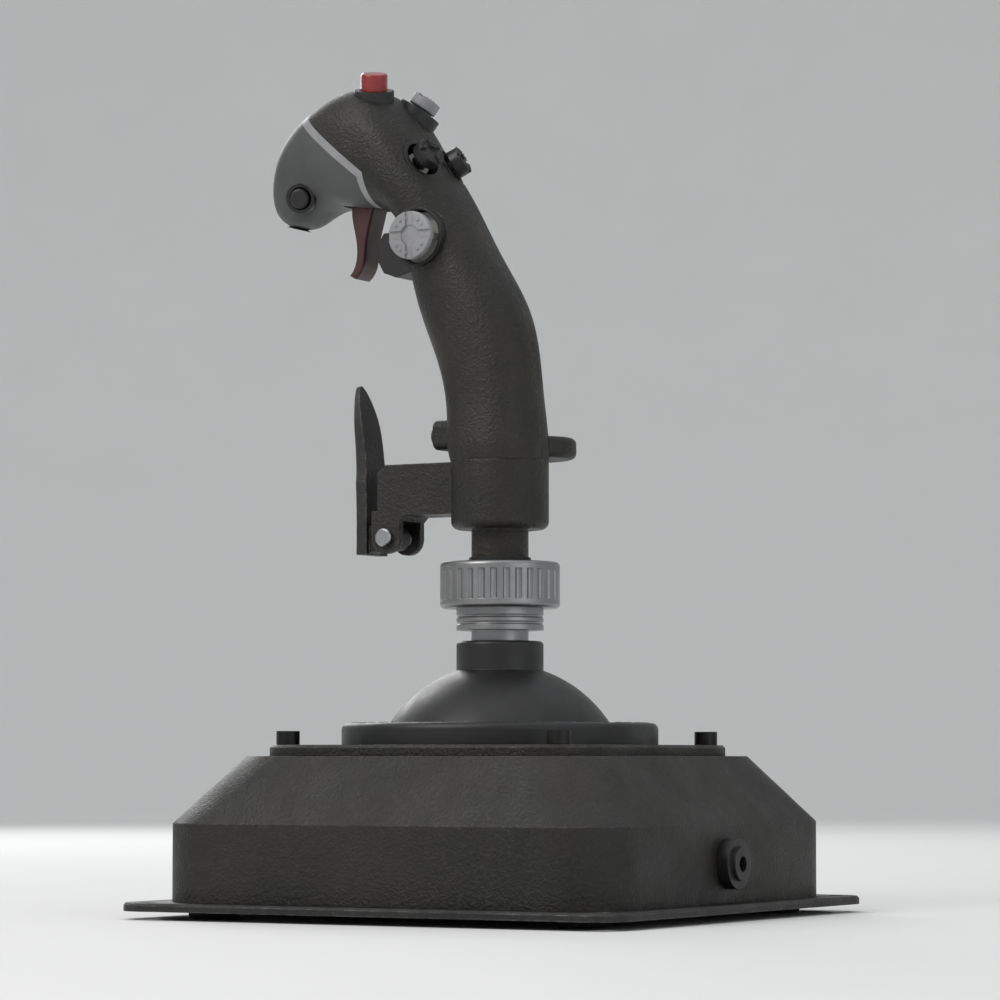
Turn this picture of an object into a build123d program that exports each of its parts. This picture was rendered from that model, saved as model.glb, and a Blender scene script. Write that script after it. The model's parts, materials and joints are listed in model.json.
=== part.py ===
"""Flight joystick: a square weighted base, a two-axis gimbal under a round dome, and a pistol-style
grip with a trigger, four thumb hats, three buttons and a paddle lever. Millimetres, +Z up, +Y away
from the pilot, origin at the bottom centre of the base."""

import math
import os

from build123d import *

os.makedirs("parts", exist_ok=True)

LOW = (Align.CENTER, Align.CENTER, Align.MIN)
MIDDLE = (Align.CENTER, Align.CENTER, Align.CENTER)

# Base
BASE_SIDE = 203.0
BASE_CORNER = 12.0
MOUNT_SPACING = 184.0
MOUNT_HOLE_R = 3.25
FOOT_R = 9.0
FOOT_H = 3.0
FOOT_SPACING = 150.0
PLATE_T = 3.0
PLATE_TOP = FOOT_H + PLATE_T
HOUSING_SIDE = 186.0
HOUSING_CORNER = 26.0
HOUSING_WALL = 3.0
HOUSING_SHOULDER = 34.0
HOUSING_TOP = 58.0
HOUSING_TOP_SIDE = 150.0
HOUSING_TOP_CORNER = 30.0
DECK_SIDE = 136.0
DECK_CORNER = 26.0
DECK_T = 4.0
DECK_TOP = HOUSING_TOP + DECK_T
DECK_SCREW_SPACING = 112.0
DECK_SCREW_R = 2.5
RING_TOP = 70.0
RING_R = 58.0

# Gimbal
PIVOT_Z = 44.0
DOME_R = 48.0
DOME_WALL = 2.5
DOME_EDGE_ANGLE = 84.0
POST_INNER_X = 31.0
POST_OUTER_X = 39.0
GIMBAL_R = 28.0
GIMBAL_BORE = 21.0
GIMBAL_HALF = 8.0
AXLE_R = 4.0
AXLE_FIT = 0.04
BEARING_R = 6.5
HUB_SIDE = 24.0
HUB_H = 20.0

# Stick below the grip
SHAFT_R = 10.5
SHAFT_BORE = 7.0
BOSS_TOP = 100.0
BARREL_R = 16.0
BARREL_LOW = 104.0
BARREL_TOP = 120.0
NUT_R = 22.0
NUT_LOW = 112.0
NUT_TOP = 129.0
NECK_R = 18.0
NECK_LOW = 141.0
NECK_TOP = 166.0
PADDLE_Y = 44.0
PADDLE_Z = 139.0
PADDLE_HALF = 7.5

# Grip: height, centre, half width and half depth of each level of the handle
GRIP_WALL = 3.0
SEAM = 0.12
HANDLE_LEVELS = [
    (166.0, 0.0, 17.5, 17.5),
    (176.0, 1.0, 18.0, 18.0),
    (190.0, 2.2, 17.0, 17.8),
    (208.0, 5.8, 17.5, 19.3),
    (225.0, 11.6, 18.0, 20.0),
    (243.0, 19.0, 18.5, 16.5),
]
# Head: the sections fan round a line above the trigger finger. Each has an angle above the
# forward direction, its near and far distance from that line, and its half width.
FAN_Y = 50.0
FAN_Z = 248.0
HEAD_SECTIONS = [
    (152.0, 14.0, 38.0, 19.8),
    (128.0, 14.5, 39.5, 21.0),
    (104.0, 14.5, 51.0, 22.2),
    (84.0, 15.0, 61.0, 22.5),
    (65.0, 17.0, 60.2, 21.5),
    (48.0, 22.5, 58.0, 19.2),
    (33.0, 28.5, 53.5, 15.8),
    (22.0, 32.3, 48.8, 11.6),
    (15.0, 36.0, 43.5, 6.0),
]
NOSE_BREAK_Y = 50.0
NOSE_BREAK_Z = 273.0
NOSE_FAR_Y = 110.0
NOSE_FAR_Z = 324.0
STRIP_T = 3.0

# Hats: pivot depth under the grip surface, and the small gimbal each cap rides on
HAT_PIVOT = 2.2
HAT_STEM_R = 2.2
HAT_RING_IN = 2.9
HAT_RING_OUT = 4.6
HAT_RING_HALF = 0.75
HAT_PIN_R = 0.6
HAT_PIN_BORE = 0.65
HAT_CAP_LOW = 4.6
SMALL_BEZEL_OUT = 8.6
SMALL_BEZEL_IN = 7.0
SMALL_CAP_R = 5.6
SIDE_BEZEL_OUT = 11.0
SIDE_BEZEL_IN = 10.0
SIDE_CAP_R = 8.9
WELL_DEPTH = 7.5
SIDE_WELL_DEPTH = 9.0
RELEASE_WELL_DEPTH = 8.0
RELEASE_BEZEL_OUT = 7.5
MODE_BEZEL_OUT = 5.6

# Trigger
TRIGGER_Y = 56.0
TRIGGER_Z = 268.0
TRIGGER_HALF = 5.5
PIN_R = 1.5
PIN_BORE = 1.55

# Places and outward directions of the controls on the grip
TRIM_PLANE = Plane(origin=(9.0, 41.0, 300.0), x_dir=(1, 0, 0), z_dir=(0.24, -0.5, 0.83))
RELEASE_PLANE = Plane(origin=(-9.5, 49.0, 305.4), x_dir=(1, 0, 0), z_dir=(-0.25, -0.16, 0.955))
LEFT_THUMB_PLANE = Plane(
    origin=(-10.0, 28.2, 278.5), x_dir=(1, 0, 0), z_dir=(-0.24, -0.84, 0.49)
)
RIGHT_THUMB_PLANE = Plane(
    origin=(10.0, 28.2, 278.5), x_dir=(1, 0, 0), z_dir=(0.24, -0.84, 0.49)
)
SIDE_PLANE = Plane(origin=(-19.6, 24.4, 249.0), x_dir=(0, 1, 0), z_dir=(-1, 0, 0))
MODE_PLANE = Plane(origin=(-15.9, 77.5, 267.5), x_dir=(0, 1, 0), z_dir=(-0.93, -0.25, -0.2))
PINKIE_PLANE = Plane(origin=(0.0, 24.0, 176.5), x_dir=(1, 0, 0), z_dir=(0, 1, 0))

BOARD_Y = 46.5
BOARD_Z = 280.0

# Screws across the grip: y, z, the x of the head's seat
GRIP_SCREW_PLACES = [(2.0, 192.0, 14.3), (9.0, 216.0, 14.8), (52.0, 288.0, 18.4)]


def oval(plane, half_width, half_depth, power):
    """A rounded section, fuller than an ellipse."""
    points = []
    for step in range(16):
        turn = 2 * math.pi * step / 16
        across = math.cos(turn)
        along = math.sin(turn)
        x = half_width * math.copysign(abs(across) ** (2 / power), across)
        y = half_depth * math.copysign(abs(along) ** (2 / power), along)
        points.append((x, y))
    with BuildSketch(plane) as section:
        with BuildLine():
            Spline(*points, periodic=True)
        make_face()
    return section.sketch


def grip_form(inset):
    """The handle and head in one smooth form, its surface moved inwards by the inset."""
    sections = []
    for z, centre, half_width, half_depth in HANDLE_LEVELS:
        level = z
        if inset > 0 and z == NECK_TOP:
            level = z - 4.0
        plane = Plane(origin=(0, centre, level), x_dir=(1, 0, 0), z_dir=(0, 0, 1))
        sections.append(oval(plane, half_width - inset, half_depth - inset, 2.3))
    for angle, near, far, half_width in HEAD_SECTIONS:
        if inset > 0 and angle < 20:
            continue
        turn = math.radians(angle)
        reach = (near + far) / 2
        plane = Plane(
            origin=(0, FAN_Y + reach * math.cos(turn), FAN_Z + reach * math.sin(turn)),
            x_dir=(1, 0, 0),
            z_dir=(0, math.sin(turn), -math.cos(turn)),
        )
        sections.append(oval(plane, half_width - inset, (far - near) / 2 - inset, 2.5))
    with BuildPart() as form:
        loft(sections=sections)
    return form.part


def side_profile(points, half_width):
    """A plate with a side view given by (y, z) points, as wide as twice the half width."""
    with BuildPart() as plate:
        with BuildSketch(Plane.YZ.offset(-half_width)):
            with BuildLine():
                Polyline(*points, close=True)
            make_face()
        extrude(amount=2 * half_width)
    return plate.part


def hat_bezel(plane, outer, inner, depth, proud, ears):
    """A round well with a floor; small fixed hats have their pin ears in it."""
    with BuildPart() as well:
        with Locations(plane.offset(-depth).location):
            Cylinder(outer, depth + proud, align=LOW)
        with Locations(plane.offset(-depth + 1.0).location):
            Cylinder(inner, depth + proud, align=LOW, mode=Mode.SUBTRACT)
        if ears:
            for side in (-1, 1):
                with Locations(plane.offset(-depth + 1.0).location * Location((side * 6.4, 0, 0))):
                    Box(1.0, 2.4, depth - 1.0 - HAT_PIVOT + 1.2, align=LOW)
            with Locations(plane.offset(-HAT_PIVOT).location * Location((0, 0, 0), (0, 90, 0))):
                Cylinder(HAT_PIN_BORE, 13.9, align=MIDDLE, mode=Mode.SUBTRACT)
    return well.part


def hat_rocker(plane):
    """The ring between the well and the cap, with its two pins across."""
    with BuildPart() as rocker:
        with Locations(plane.offset(-HAT_PIVOT).location):
            Cylinder(HAT_RING_OUT, 2 * HAT_RING_HALF, align=MIDDLE)
        with Locations(plane.offset(-HAT_PIVOT).location * Location((0, 0, 0), (0, 90, 0))):
            Cylinder(HAT_PIN_R, 13.4, align=MIDDLE)
        with Locations(plane.offset(-HAT_PIVOT).location):
            Cylinder(HAT_RING_IN, 4.0, align=MIDDLE, mode=Mode.SUBTRACT)
        with Locations(plane.offset(-HAT_PIVOT).location * Location((0, 0, 0), (90, 0, 0))):
            Cylinder(HAT_PIN_BORE, 12.0, align=MIDDLE, mode=Mode.SUBTRACT)
    return rocker.part


def hat_cap(plane, cap_r, cap_h, dish):
    """The cap the thumb moves: a stem, a round head with a notched crown and two pins."""
    pivot = plane.offset(-HAT_PIVOT)
    with BuildPart() as cap:
        with Locations(pivot.offset(-1.2).location):
            Cylinder(HAT_STEM_R, HAT_CAP_LOW + 1.7, align=LOW)
        with Locations(pivot.location * Location((0, 0, 0), (90, 0, 0))):
            Cylinder(HAT_PIN_R, 8.4, align=MIDDLE)
        with Locations(pivot.offset(HAT_CAP_LOW).location):
            Cylinder(cap_r, cap_h, align=LOW)
        crown = cap.edges().filter_by(GeomType.CIRCLE).sort_by(SortBy.RADIUS)[-2:]
        fillet(crown, 0.5)
        top = pivot.offset(HAT_CAP_LOW + cap_h)
        for turn in (0, 90):
            with Locations(top.location * Location((0, 0, 0), (0, 0, turn))):
                Box(3 * cap_r, cap_r * 0.36, 1.5, align=MIDDLE, mode=Mode.SUBTRACT)
        with Locations(top.offset(-dish).location):
            Cylinder(cap_r * 0.42, 4.0, align=LOW, mode=Mode.SUBTRACT)
    return cap.part


def button_bezel(plane, outer, inner, depth, proud):
    """A short well round a push button."""
    with BuildPart() as well:
        with Locations(plane.offset(-depth).location):
            Cylinder(outer, depth + proud, align=LOW)
        with Locations(plane.offset(-depth + 1.2).location):
            Cylinder(inner, depth + proud, align=LOW, mode=Mode.SUBTRACT)
    return well.part


def push_button(plane, radius, low, high):
    """A push button with a softly rounded top edge."""
    with BuildPart() as button:
        with Locations(plane.offset(low).location):
            Cylinder(radius, high - low, align=LOW)
        rims = button.edges().filter_by(GeomType.CIRCLE)
        top = max(rims, key=lambda rim: (rim.arc_center - plane.origin).dot(plane.z_dir))
        fillet(top, 1.0)
    return button.part


def coil(centre, direction, radius, wire, pitch, length):
    """A round-wire coil spring along a direction, starting at the centre given."""
    with BuildPart() as spring:
        with BuildLine() as path:
            Helix(pitch=pitch, height=length, radius=radius, center=centre, direction=direction)
        with BuildSketch(Plane(origin=path.line @ 0, z_dir=path.line % 0)):
            Circle(wire)
        sweep()
    return spring.part


def from_pivot(*offsets):
    """Side-view points of the trigger, given from its pivot."""
    return [(TRIGGER_Y + along, TRIGGER_Z + up) for along, up in offsets]


def save(part, label):
    part.label = label
    export_step(part, "parts/" + label + ".step")


# ---------------------------------------------------------------- base

with BuildPart() as rubber_feet:
    with GridLocations(FOOT_SPACING, FOOT_SPACING, 2, 2):
        Cylinder(FOOT_R, FOOT_H, align=LOW)
    chamfer(rubber_feet.faces().sort_by(Axis.Z)[:4].edges(), 0.8)

with BuildPart() as base_plate:
    with BuildSketch(Plane.XY.offset(FOOT_H)):
        RectangleRounded(BASE_SIDE, BASE_SIDE, BASE_CORNER)
        with GridLocations(MOUNT_SPACING, MOUNT_SPACING, 2, 2):
            Circle(MOUNT_HOLE_R, mode=Mode.SUBTRACT)
        with GridLocations(116, 116, 2, 2):
            Circle(1.75, mode=Mode.SUBTRACT)
        with GridLocations(72, 26, 2, 2):
            Circle(2.0, mode=Mode.SUBTRACT)
    extrude(amount=PLATE_T)
    chamfer(base_plate.faces().sort_by(Axis.Z)[-1].outer_wire().edges(), 0.8)

with BuildPart() as housing_shell:
    with BuildSketch(Plane.XY.offset(PLATE_TOP)):
        RectangleRounded(HOUSING_SIDE, HOUSING_SIDE, HOUSING_CORNER)
    extrude(amount=HOUSING_SHOULDER - PLATE_TOP)
    with BuildSketch(Plane.XY.offset(HOUSING_SHOULDER)):
        RectangleRounded(HOUSING_SIDE, HOUSING_SIDE, HOUSING_CORNER)
    with BuildSketch(Plane.XY.offset(HOUSING_TOP)):
        RectangleRounded(HOUSING_TOP_SIDE, HOUSING_TOP_SIDE, HOUSING_TOP_CORNER)
    loft()
    with BuildSketch(Plane.XY.offset(PLATE_TOP)):
        RectangleRounded(
            HOUSING_SIDE - 2 * HOUSING_WALL,
            HOUSING_SIDE - 2 * HOUSING_WALL,
            HOUSING_CORNER - HOUSING_WALL,
        )
    extrude(amount=HOUSING_SHOULDER - PLATE_TOP, mode=Mode.SUBTRACT)
    with BuildSketch(Plane.XY.offset(HOUSING_SHOULDER)):
        RectangleRounded(
            HOUSING_SIDE - 2 * HOUSING_WALL,
            HOUSING_SIDE - 2 * HOUSING_WALL,
            HOUSING_CORNER - HOUSING_WALL,
        )
    with BuildSketch(Plane.XY.offset(HOUSING_TOP - HOUSING_WALL)):
        RectangleRounded(
            HOUSING_TOP_SIDE - 2 * HOUSING_WALL,
            HOUSING_TOP_SIDE - 2 * HOUSING_WALL,
            HOUSING_TOP_CORNER - HOUSING_WALL,
        )
    loft(mode=Mode.SUBTRACT)
    # corner posts that take the screws from under the plate
    with BuildSketch(Plane.XY.offset(PLATE_TOP)):
        with GridLocations(116, 116, 2, 2):
            Circle(5.0)
            Circle(1.75, mode=Mode.SUBTRACT)
    extrude(amount=HOUSING_TOP - 2.0 - PLATE_TOP)
    with BuildSketch(Plane.XY.offset(HOUSING_TOP - 8.0)):
        Circle(62.0)
        with GridLocations(DECK_SCREW_SPACING, DECK_SCREW_SPACING, 2, 2):
            Circle(DECK_SCREW_R)
    extrude(amount=12.0, mode=Mode.SUBTRACT)
    # inlet in the rear wall
    with Locations((0, -HOUSING_SIDE / 2, 20.0)):
        Cylinder(6.0, 20.0, rotation=(90, 0, 0), mode=Mode.SUBTRACT)

with BuildPart() as deck_plate:
    with BuildSketch(Plane.XY.offset(HOUSING_TOP)):
        RectangleRounded(DECK_SIDE, DECK_SIDE, DECK_CORNER)
        Circle(50.0, mode=Mode.SUBTRACT)
        with GridLocations(DECK_SCREW_SPACING, DECK_SCREW_SPACING, 2, 2):
            Circle(DECK_SCREW_R, mode=Mode.SUBTRACT)
    extrude(amount=DECK_T)
    chamfer(deck_plate.faces().sort_by(Axis.Z)[-1].outer_wire().edges(), 1.0)

with BuildPart() as deck_screws:
    with GridLocations(DECK_SCREW_SPACING, DECK_SCREW_SPACING, 2, 2):
        with Locations((0, 0, HOUSING_TOP - 7.0)):
            Cylinder(DECK_SCREW_R, DECK_T + 7.0, align=LOW)
        with Locations((0, 0, DECK_TOP)):
            Cylinder(4.25, 5.0, align=LOW)
    with BuildSketch(Plane.XY.offset(DECK_TOP + 2.4)):
        with GridLocations(DECK_SCREW_SPACING, DECK_SCREW_SPACING, 2, 2):
            RegularPolygon(2.3, 6)
    extrude(amount=4.0, mode=Mode.SUBTRACT)

with BuildPart() as dome_ring:
    with Locations((0, 0, DECK_TOP)):
        Cylinder(RING_R, RING_TOP - DECK_TOP, align=LOW)
    fillet(dome_ring.faces().sort_by(Axis.Z)[-1].edges(), 2.5)
    with Locations((0, 0, PIVOT_Z)):
        Sphere(DOME_R + 1.0, mode=Mode.SUBTRACT)

with BuildPart() as plate_screws:
    with GridLocations(116, 116, 2, 2):
        with Locations((0, 0, FOOT_H - 2.0)):
            Cylinder(3.2, 2.0, align=LOW)
        with Locations((0, 0, FOOT_H)):
            Cylinder(1.75, 15.0, align=LOW)
    with BuildSketch(Plane.XY.offset(FOOT_H - 2.0)):
        with GridLocations(116, 116, 2, 2):
            RegularPolygon(1.6, 6)
    extrude(amount=1.2, mode=Mode.SUBTRACT)

with BuildPart() as cable_gland:
    with Locations((0, -HOUSING_SIDE / 2 + 7.0, 20.0)):
        Cylinder(6.0, 13.0, rotation=(90, 0, 0), align=LOW)
    with Locations((0, -HOUSING_SIDE / 2, 20.0)):
        Cylinder(9.0, 4.5, rotation=(90, 0, 0), align=LOW)
    with Locations((0, -HOUSING_SIDE / 2 + 7.0, 20.0)):
        Cylinder(8.5, 4.0, rotation=(90, 0, 0), align=LOW)
    with Locations((0, -HOUSING_SIDE / 2, 20.0)):
        Cylinder(2.8, 40.0, rotation=(90, 0, 0), mode=Mode.SUBTRACT)

with BuildPart() as controller_board:
    with BuildSketch(Plane.XY.offset(14.0)):
        with Locations((0, -68)):
            Rectangle(90, 26)
            with GridLocations(80, 18, 2, 2):
                Circle(1.3, mode=Mode.SUBTRACT)
    extrude(amount=1.6)
    with Locations((-14, -68, 15.6)):
        Box(12, 12, 1.8, align=LOW)
    with Locations((18, -68, 15.6)):
        Box(8, 6, 1.6, align=LOW)
    with Locations((0, -77, 15.6)):
        Box(10, 6, 5.0, align=LOW)

with BuildPart() as board_standoffs:
    with BuildSketch(Plane.XY.offset(PLATE_TOP)):
        with Locations((0, -68)):
            with GridLocations(80, 18, 2, 2):
                Circle(3.0)
                Circle(1.3, mode=Mode.SUBTRACT)
    extrude(amount=14.0 - PLATE_TOP)

with BuildPart() as board_screws:
    with Locations((0, -68, 0)):
        with GridLocations(80, 18, 2, 2):
            with Locations((0, 0, 9.0)):
                Cylinder(1.3, 6.6, align=LOW)
            with Locations((0, 0, 15.6)):
                Cylinder(2.4, 1.6, align=LOW)
    with BuildSketch(Plane.XY.offset(16.4)):
        with Locations((0, -68)):
            with GridLocations(80, 18, 2, 2):
                RegularPolygon(1.2, 6)
    extrude(amount=2.0, mode=Mode.SUBTRACT)

with BuildPart() as gimbal_frame:
    with BuildSketch(Plane.XY.offset(PLATE_TOP)):
        RectangleRounded(84, 40, 4)
        with GridLocations(72, 26, 2, 2):
            Circle(2.0, mode=Mode.SUBTRACT)
    extrude(amount=5.0)
    for side in (-1, 1):
        with Locations((side * (POST_INNER_X + POST_OUTER_X) / 2, 0, PLATE_TOP)):
            Box(POST_OUTER_X - POST_INNER_X, 16.0, PIVOT_Z - PLATE_TOP, align=LOW)
        with Locations((side * (POST_INNER_X + POST_OUTER_X) / 2, 0, PIVOT_Z)):
            Cylinder(9.0, POST_OUTER_X - POST_INNER_X, rotation=(0, 90, 0))
    with Locations((0, 0, PIVOT_Z)):
        Cylinder(BEARING_R, 90.0, rotation=(0, 90, 0), mode=Mode.SUBTRACT)

with BuildPart() as frame_screws:
    with GridLocations(72, 26, 2, 2):
        with Locations((0, 0, FOOT_H)):
            Cylinder(2.0, 8.0, align=LOW)
        with Locations((0, 0, PLATE_TOP + 5.0)):
            Cylinder(3.4, 3.0, align=LOW)
    with BuildSketch(Plane.XY.offset(PLATE_TOP + 6.4)):
        with GridLocations(72, 26, 2, 2):
            RegularPolygon(1.9, 6)
    extrude(amount=3.0, mode=Mode.SUBTRACT)

with BuildPart() as frame_bearings:
    for side in (-1, 1):
        with Locations((side * (POST_INNER_X + POST_OUTER_X) / 2, 0, PIVOT_Z)):
            Cylinder(BEARING_R, POST_OUTER_X - POST_INNER_X, rotation=(0, 90, 0))
            Cylinder(AXLE_R + AXLE_FIT, 20.0, rotation=(0, 90, 0), mode=Mode.SUBTRACT)

with BuildPart() as pitch_sensor:
    with Locations((-POST_OUTER_X - 4.6, 0, PIVOT_Z)):
        Cylinder(8.0, 4.6, rotation=(0, 90, 0), align=LOW)
    with Locations((-POST_OUTER_X - 3.4, 0, PIVOT_Z)):
        Cylinder(6.4, 4.6, rotation=(0, 90, 0), align=LOW, mode=Mode.SUBTRACT)

pitch_spring = coil((POST_OUTER_X + 0.6, 0, PIVOT_Z), (1, 0, 0), 5.4, 0.55, 1.25, 2.5)

# ---------------------------------------------------------------- gimbal ring

with BuildPart() as gimbal_ring:
    with Locations((0, 0, PIVOT_Z)):
        Cylinder(GIMBAL_R, 2 * GIMBAL_HALF)
        Cylinder(GIMBAL_BORE, 2 * GIMBAL_HALF + 2, mode=Mode.SUBTRACT)
        Cylinder(AXLE_R, 80.0, rotation=(0, 90, 0), mode=Mode.SUBTRACT)
        Cylinder(6.0, 80.0, rotation=(90, 0, 0), mode=Mode.SUBTRACT)

with BuildPart() as ring_axles:
    for side in (-1, 1):
        with Locations((side * 31.5, 0, PIVOT_Z)):
            Cylinder(AXLE_R, 20.0, rotation=(0, 90, 0))
    with Locations((0, 0, PIVOT_Z)):
        Cylinder(GIMBAL_BORE + 0.4, 30.0, mode=Mode.SUBTRACT)

with BuildPart() as ring_bearings:
    with Locations((0, 0, PIVOT_Z)):
        Cylinder(6.0, 60.0, rotation=(90, 0, 0))
        Cylinder(AXLE_R + AXLE_FIT, 62.0, rotation=(90, 0, 0), mode=Mode.SUBTRACT)
        Cylinder(GIMBAL_BORE + 0.2, 30.0, mode=Mode.SUBTRACT)
        Cylinder(GIMBAL_R - 0.2, 30.0, mode=Mode.INTERSECT)

with BuildPart() as roll_sensor:
    with Locations((0, -GIMBAL_R - 5.4, PIVOT_Z)):
        Cylinder(7.6, 8.0, rotation=(-90, 0, 0), align=LOW)
    with Locations((0, -GIMBAL_R - 4.2, PIVOT_Z)):
        Cylinder(6.2, 12.0, rotation=(-90, 0, 0), align=LOW, mode=Mode.SUBTRACT)
    with Locations((0, 0, PIVOT_Z)):
        Cylinder(GIMBAL_R, 30.0, mode=Mode.SUBTRACT)

roll_spring = coil((0, GIMBAL_BORE - 5.8, PIVOT_Z), (0, 1, 0), 5.2, 0.55, 1.3, 4.4)

# ---------------------------------------------------------------- stick below the grip

with BuildPart() as stick_hub:
    with Locations((0, 0, PIVOT_Z)):
        Box(HUB_SIDE, HUB_SIDE, HUB_H)
        chamfer(stick_hub.edges().filter_by(Axis.Z), 2.0)
        Cylinder(AXLE_R, 60.0, rotation=(90, 0, 0), mode=Mode.SUBTRACT)

with BuildPart() as hub_axle:
    with Locations((0, 0, PIVOT_Z)):
        Cylinder(AXLE_R, 2 * GIMBAL_R + 3.0, rotation=(90, 0, 0))

shaft_low = PIVOT_Z + HUB_H / 2
with BuildPart() as stick_shaft:
    with Locations((0, 0, shaft_low)):
        Cylinder(12.0, 3.0, align=LOW)
        Cylinder(SHAFT_R, BARREL_LOW - shaft_low, align=LOW)
    with Locations((0, 0, BARREL_LOW)):
        Cylinder(BARREL_R, BARREL_TOP - BARREL_LOW, align=LOW)
    chamfer(stick_shaft.edges().filter_by(GeomType.CIRCLE).sort_by(Axis.Z)[-1], 0.8)
    with Locations((0, 0, shaft_low + 4.0)):
        Cylinder(SHAFT_BORE, 100.0, align=LOW, mode=Mode.SUBTRACT)
    # two rings of thread relief under the nut
    for level in (BARREL_LOW + 2.5, BARREL_LOW + 5.0):
        with Locations((0, 0, level)):
            Torus(BARREL_R + 0.2, 0.6, mode=Mode.SUBTRACT)

edge = math.radians(DOME_EDGE_ANGLE)
with BuildPart() as shaft_dome:
    with Locations((0, 0, PIVOT_Z)):
        Sphere(DOME_R)
    with Locations((0, 0, PIVOT_Z)):
        Cylinder(16.0, BOSS_TOP - PIVOT_Z, align=LOW)
    rim = shaft_dome.edges().filter_by(GeomType.CIRCLE).sort_by(Axis.Z)[-1]
    fillet(rim, 1.5)
    with Locations((0, 0, PIVOT_Z)):
        Sphere(DOME_R - DOME_WALL, mode=Mode.SUBTRACT)
        Cylinder(SHAFT_R, 80.0, align=LOW, mode=Mode.SUBTRACT)
    with Locations((0, 0, PIVOT_Z + DOME_R * math.cos(edge))):
        Box(120, 120, 120, align=(Align.CENTER, Align.CENTER, Align.MAX), mode=Mode.SUBTRACT)

with BuildPart() as collar_nut:
    with Locations((0, 0, NUT_LOW)):
        Cylinder(NUT_R, NUT_TOP - NUT_LOW, align=LOW)
    fillet(collar_nut.edges().filter_by(GeomType.CIRCLE), 1.6)
    with PolarLocations(NUT_R + 0.5, 30):
        with Locations((0, 0, NUT_LOW + 3.0)):
            Cylinder(1.4, NUT_TOP - NUT_LOW - 6.0, align=LOW, mode=Mode.SUBTRACT)
    with Locations((0, 0, NUT_LOW)):
        Cylinder(BARREL_R, BARREL_TOP + 2.0 - NUT_LOW, align=LOW, mode=Mode.SUBTRACT)
        Cylinder(SHAFT_R, 40.0, align=LOW, mode=Mode.SUBTRACT)

arm_plate = side_profile([(8, 147), (36, 147), (38, 145), (47.5, 145), (47.5, 163), (44, 166),
                          (8, 166)], 9.0)
with BuildPart() as neck_bracket:
    with Locations((0, 0, BARREL_TOP)):
        Cylinder(BARREL_R - 0.5, 2.0, align=LOW)
        Cylinder(SHAFT_R, NECK_LOW - BARREL_TOP + 1.0, align=LOW)
    with Locations((0, 0, NECK_LOW)):
        Cylinder(NECK_R, NECK_TOP - NECK_LOW, align=LOW)
    low_rim = neck_bracket.edges().filter_by(GeomType.CIRCLE).filter_by(
        lambda rim: rim.radius > NECK_R - 0.1 and rim.arc_center.Z < NECK_LOW + 0.1
    )
    fillet(low_rim, 3.0)
    add(arm_plate)
    for side in (-1, 1):
        with Locations((side * 7.6, PADDLE_Y, PADDLE_Z)):
            Cylinder(6.0, 2.8, rotation=(0, 90, 0))
        with Locations((side * 7.6, PADDLE_Y, PADDLE_Z)):
            Box(2.8, 12.0, 10.0, align=LOW)
    with Locations((0, PADDLE_Y, PADDLE_Z)):
        Cylinder(PIN_R, 30.0, rotation=(0, 90, 0), mode=Mode.SUBTRACT)
    with Locations((0, 0, BARREL_TOP - 1.0)):
        Cylinder(6.0, 60.0, align=LOW, mode=Mode.SUBTRACT)

with BuildPart() as grip_connector:
    with Locations((0, 0, NECK_TOP - 6.0)):
        Cylinder(6.0, 6.0, align=LOW)
    with Locations((0, 0, NECK_TOP)):
        Cylinder(10.0, 7.0, align=LOW)
    with Locations((0, 0, NECK_TOP + 7.0)):
        with PolarLocations(5.0, 5):
            Cylinder(0.8, 3.0, align=LOW)

# ---------------------------------------------------------------- grip shells

grip_outer = grip_form(0.0)

run = math.hypot(NOSE_FAR_Y - NOSE_BREAK_Y, NOSE_FAR_Z - NOSE_BREAK_Z)
step_y = -STRIP_T * (NOSE_FAR_Z - NOSE_BREAK_Z) / run
step_z = STRIP_T * (NOSE_FAR_Y - NOSE_BREAK_Y) / run
slope = (NOSE_FAR_Z - NOSE_BREAK_Z) / (NOSE_FAR_Y - NOSE_BREAK_Y)
strip_y = NOSE_BREAK_Y - STRIP_T
strip_z = NOSE_BREAK_Z + step_z + (strip_y - NOSE_BREAK_Y - step_y) * slope
nose_side = [
    (NOSE_BREAK_Y, 240.0),
    (NOSE_FAR_Y, 240.0),
    (NOSE_FAR_Y, NOSE_FAR_Z),
    (NOSE_BREAK_Y, NOSE_BREAK_Z),
]
strip_side = [
    (strip_y, 240.0),
    (NOSE_BREAK_Y, 240.0),
    (NOSE_BREAK_Y, NOSE_BREAK_Z),
    (NOSE_FAR_Y, NOSE_FAR_Z),
    (NOSE_FAR_Y + step_y, NOSE_FAR_Z + step_z),
    (strip_y, strip_z),
]
nose_cutter = side_profile(nose_side, 40.0)
strip_cutter = side_profile(strip_side, 40.0)

with BuildPart() as grip_hollow:
    add(grip_form(0.0))
    add(grip_form(GRIP_WALL), mode=Mode.SUBTRACT)

with BuildPart() as inner_ribs:
    for side in (-1, 1):
        # ledges that carry the switch board
        with Locations((side * 18.0, BOARD_Y, BOARD_Z - 3.0)):
            Box(14.0, 11.0, 3.0, align=LOW)
        # bosses that carry the trigger pin
        with Locations((side * 16.3, TRIGGER_Y - 2.0, TRIGGER_Z)):
            Box(19.0, 4.0, 7.0)
        with Locations((side * 16.3, TRIGGER_Y, TRIGGER_Z)):
            Cylinder(3.5, 19.0, rotation=(0, 90, 0))
    for y, z, seat in GRIP_SCREW_PLACES:
        with Locations((0, y, z)):
            Cylinder(3.6, 60.0, rotation=(0, 90, 0))
    with Locations((0, TRIGGER_Y, TRIGGER_Z)):
        Box(2 * TRIGGER_HALF + 1.6, 30.0, 12.0, mode=Mode.SUBTRACT)
    add(grip_outer, mode=Mode.INTERSECT)

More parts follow.
